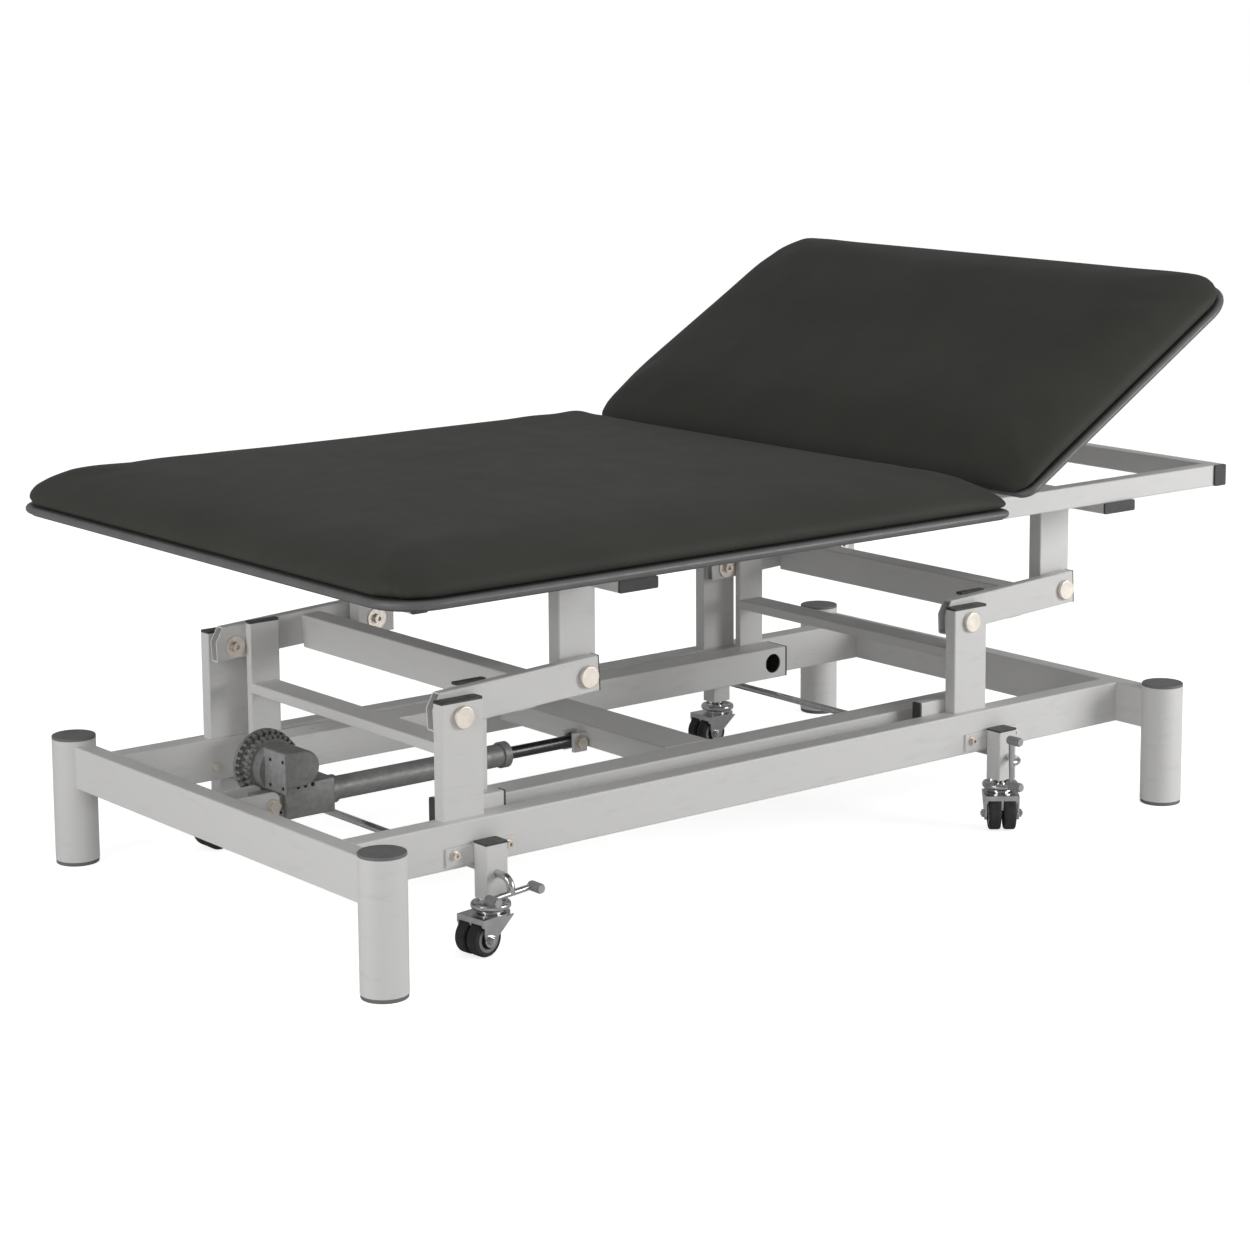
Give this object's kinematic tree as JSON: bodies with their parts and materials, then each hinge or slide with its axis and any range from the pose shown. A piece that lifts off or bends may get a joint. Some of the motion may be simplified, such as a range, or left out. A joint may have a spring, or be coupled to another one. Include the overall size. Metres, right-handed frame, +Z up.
{
  "type": "bobath table",
  "caption": "Wide electric therapy table with a padded seat section and a raised back section on a swing-arm lifting frame with corner posts and pedal-lowered castors.",
  "frame": {"origin": "on the floor, under the middle of the whole outline in the rest pose", "axes": "+Z up, +X from the foot end towards the head end with the raised back section, +Y to the far side, away from the pedals"},
  "size_m": [2.006, 1.2, 1.0308],
  "materials": {
    "frame_grey": "satin",
    "cap_grey": "matte",
    "plug_black": "matte",
    "zinc": "satin",
    "actuator_grey": "satin",
    "rod_dark": "satin",
    "board_dark": "matte",
    "trim_grey": "matte",
    "cover_charcoal": "matte",
    "chrome": "polished",
    "tyre_black": "matte"
  },
  "bodies": {
    "base": {"corner_posts": "frame_grey", "post_caps": "cap_grey", "post_feet": "cap_grey", "end_beam_foot": "frame_grey", "end_beam_head": "frame_grey", "side_rail_near": "frame_grey", "side_rail_far": "frame_grey", "base_uprights": "frame_grey", "rail_stubs": "frame_grey", "castor_housings": "frame_grey", "base_plugs": "plug_black", "actuator_bracket": "frame_grey", "base_bolts": "zinc"},
    "foot_swing": {"swing_arms_foot": "frame_grey", "cross_tube_foot": "frame_grey", "lever_frame_foot": "frame_grey", "swing_plugs_foot": "plug_black"},
    "head_swing": {"swing_arms_head": "frame_grey", "cross_tube_head": "frame_grey", "lever_frame_head": "frame_grey", "swing_plugs_head": "plug_black"},
    "push_frame": {"push_bar_near": "frame_grey", "push_bar_far": "frame_grey", "push_cross_beam": "frame_grey", "push_plugs": "plug_black", "push_bolts": "zinc"},
    "spindle_rod": {"actuator_rod": "rod_dark"},
    "actuator": {"actuator_tube": "actuator_grey", "actuator_housing": "actuator_grey", "motor_drum": "actuator_grey"},
    "top_frame": {"top_rail_near": "frame_grey", "top_rail_far": "frame_grey", "top_end_foot": "frame_grey", "top_end_head": "frame_grey", "low_cross_tubes": "frame_grey", "top_plugs": "plug_black", "hangers": "frame_grey", "top_bolts": "zinc", "seat_trim": "trim_grey", "seat_board": "board_dark", "seat_pad": "cover_charcoal"},
    "backrest": {"back_trim": "trim_grey", "back_board": "board_dark", "back_pad": "cover_charcoal", "back_struts": "frame_grey"},
    "pedal_foot": {"pedal_foot": "chrome"},
    "pedal_head": {"pedal_head": "chrome"},
    "stem_foot_near": {"castor_stem_foot_near": "chrome"},
    "fork_foot_near": {"castor_fork_foot_near": "chrome"},
    "wheels_foot_near": {"castor_wheels_foot_near": "tyre_black"},
    "stem_foot_far": {"castor_stem_foot_far": "chrome"},
    "fork_foot_far": {"castor_fork_foot_far": "chrome"},
    "wheels_foot_far": {"castor_wheels_foot_far": "tyre_black"},
    "stem_head_near": {"castor_stem_head_near": "chrome"},
    "fork_head_near": {"castor_fork_head_near": "chrome"},
    "wheels_head_near": {"castor_wheels_head_near": "tyre_black"},
    "stem_head_far": {"castor_stem_head_far": "chrome"},
    "fork_head_far": {"castor_fork_head_far": "chrome"},
    "wheels_head_far": {"castor_wheels_head_far": "tyre_black"}
  },
  "joints": [
    {"name": "lift", "type": "hinge", "parent": "base", "child": "foot_swing", "pos_m": [-0.725, 0, 0.378], "axis": [0, -1, 0], "range_deg": [-20, 45]},
    {"name": "head_lift", "type": "hinge", "parent": "base", "child": "head_swing", "pos_m": [0.397, 0, 0.378], "axis": [0, -1, 0], "range_deg": [-20, 45]},
    {"name": "top_level", "type": "hinge", "parent": "foot_swing", "child": "top_frame", "pos_m": [-0.45367, 0, 0.39793], "axis": [0, -1, 0], "range_deg": [-45, 20]},
    {"name": "push_level", "type": "hinge", "parent": "foot_swing", "child": "push_frame", "pos_m": [-0.67, 0, 0.19], "axis": [0, -1, 0], "range_deg": [-45, 20]},
    {"name": "rod_tilt", "type": "hinge", "parent": "push_frame", "child": "spindle_rod", "pos_m": [-0.227, 0, 0.19], "axis": [0, -1, 0], "range_deg": [-3, 7]},
    {"name": "spindle", "type": "slide", "parent": "spindle_rod", "child": "actuator", "axis": [-1, 0, 0], "range_m": [-0.06, 0.133]},
    {"name": "back_angle", "type": "hinge", "parent": "top_frame", "child": "backrest", "pos_m": [0.265, 0, 0.6035], "axis": [0, -1, 0], "range_deg": [-30.8, 27]},
    {"name": "pedal_foot_turn", "type": "hinge", "parent": "base", "child": "pedal_foot", "pos_m": [-0.7, 0, 0.131], "axis": [0, 1, 0], "range_deg": [0, 40]},
    {"name": "pedal_head_turn", "type": "hinge", "parent": "base", "child": "pedal_head", "pos_m": [0.442, 0, 0.131], "axis": [0, 1, 0], "range_deg": [0, 40]},
    {"name": "drop_foot_near", "type": "slide", "parent": "base", "child": "stem_foot_near", "axis": [0, 0, -1], "range_m": [0, 0.014]},
    {"name": "swivel_foot_near", "type": "hinge", "parent": "stem_foot_near", "child": "fork_foot_near", "pos_m": [-0.7, -0.399, 0.06], "axis": [0, 0, 1], "continuous": true},
    {"name": "roll_foot_near", "type": "hinge", "parent": "fork_foot_near", "child": "wheels_foot_near", "pos_m": [-0.72872, -0.40304, 0.03], "axis": [-0.1392, 0.9903, 0], "continuous": true},
    {"name": "drop_foot_far", "type": "slide", "parent": "base", "child": "stem_foot_far", "axis": [0, 0, -1], "range_m": [0, 0.014]},
    {"name": "swivel_foot_far", "type": "hinge", "parent": "stem_foot_far", "child": "fork_foot_far", "pos_m": [-0.7, 0.399, 0.06], "axis": [0, 0, 1], "continuous": true},
    {"name": "roll_foot_far", "type": "hinge", "parent": "fork_foot_far", "child": "wheels_foot_far", "pos_m": [-0.729, 0.399, 0.03], "axis": [0, 1, 0], "continuous": true},
    {"name": "drop_head_near", "type": "slide", "parent": "base", "child": "stem_head_near", "axis": [0, 0, -1], "range_m": [0, 0.014]},
    {"name": "swivel_head_near", "type": "hinge", "parent": "stem_head_near", "child": "fork_head_near", "pos_m": [0.442, -0.399, 0.06], "axis": [0, 0, 1], "continuous": true},
    {"name": "roll_head_near", "type": "hinge", "parent": "fork_head_near", "child": "wheels_head_near", "pos_m": [0.42375, -0.42154, 0.03], "axis": [-0.7771, 0.6293, 0], "continuous": true},
    {"name": "drop_head_far", "type": "slide", "parent": "base", "child": "stem_head_far", "axis": [0, 0, -1], "range_m": [0, 0.014]},
    {"name": "swivel_head_far", "type": "hinge", "parent": "stem_head_far", "child": "fork_head_far", "pos_m": [0.442, 0.399, 0.06], "axis": [0, 0, 1], "continuous": true},
    {"name": "roll_head_far", "type": "hinge", "parent": "fork_head_far", "child": "wheels_head_far", "pos_m": [0.413, 0.399, 0.03], "axis": [0, 1, 0], "continuous": true}
  ],
  "couplings": [
    {"joint": "head_lift", "follows": "lift", "ratio": 1},
    {"joint": "top_level", "follows": "lift", "ratio": -1},
    {"joint": "push_level", "follows": "lift", "ratio": -1},
    {"joint": "rod_tilt", "follows": "lift", "ratio": 0.14},
    {"joint": "spindle", "follows": "lift", "m_per_rad": 0.166},
    {"joint": "drop_foot_near", "follows": "pedal_foot_turn", "m_per_rad": 0.02},
    {"joint": "drop_foot_far", "follows": "pedal_foot_turn", "m_per_rad": 0.02},
    {"joint": "drop_head_near", "follows": "pedal_head_turn", "m_per_rad": 0.02},
    {"joint": "drop_head_far", "follows": "pedal_head_turn", "m_per_rad": 0.02}
  ]
}
